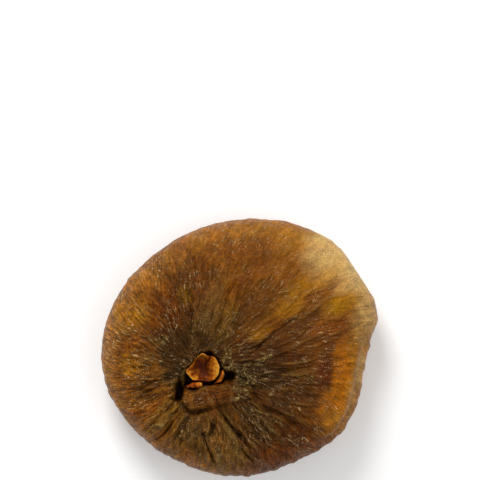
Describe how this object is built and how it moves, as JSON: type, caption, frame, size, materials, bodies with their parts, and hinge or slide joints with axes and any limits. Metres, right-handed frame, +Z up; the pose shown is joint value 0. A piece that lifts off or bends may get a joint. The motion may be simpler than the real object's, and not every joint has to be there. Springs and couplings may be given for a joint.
{
  "type": "dried fig",
  "caption": "Dried fig pressed into a low wide cushion, with pleated skin, a stem stub in a pit on top and a scaly eye underneath.",
  "frame": {"origin": "middle of the footprint, on the surface that the fruit lies on", "axes": "+Z up, out of the face with the stem, through the thin way; X along the longest side; the folded neck lies on the -Y side of the stem"},
  "size_m": [0.0518, 0.0484, 0.0161],
  "materials": {
    "fig_skin": "dried fruit skin, waxy, with a soft sheen",
    "stalk": "dry stalk, matt",
    "dry_bract": "dry scale, matt",
    "eye_scale": "dry scales, matt"
  },
  "bodies": {
    "root": {"fig_body": "fig_skin", "stem_stub": "stalk", "bract_right": "dry_bract", "bract_left": "dry_bract", "eye_scales": "eye_scale"}
  },
  "joints": []
}
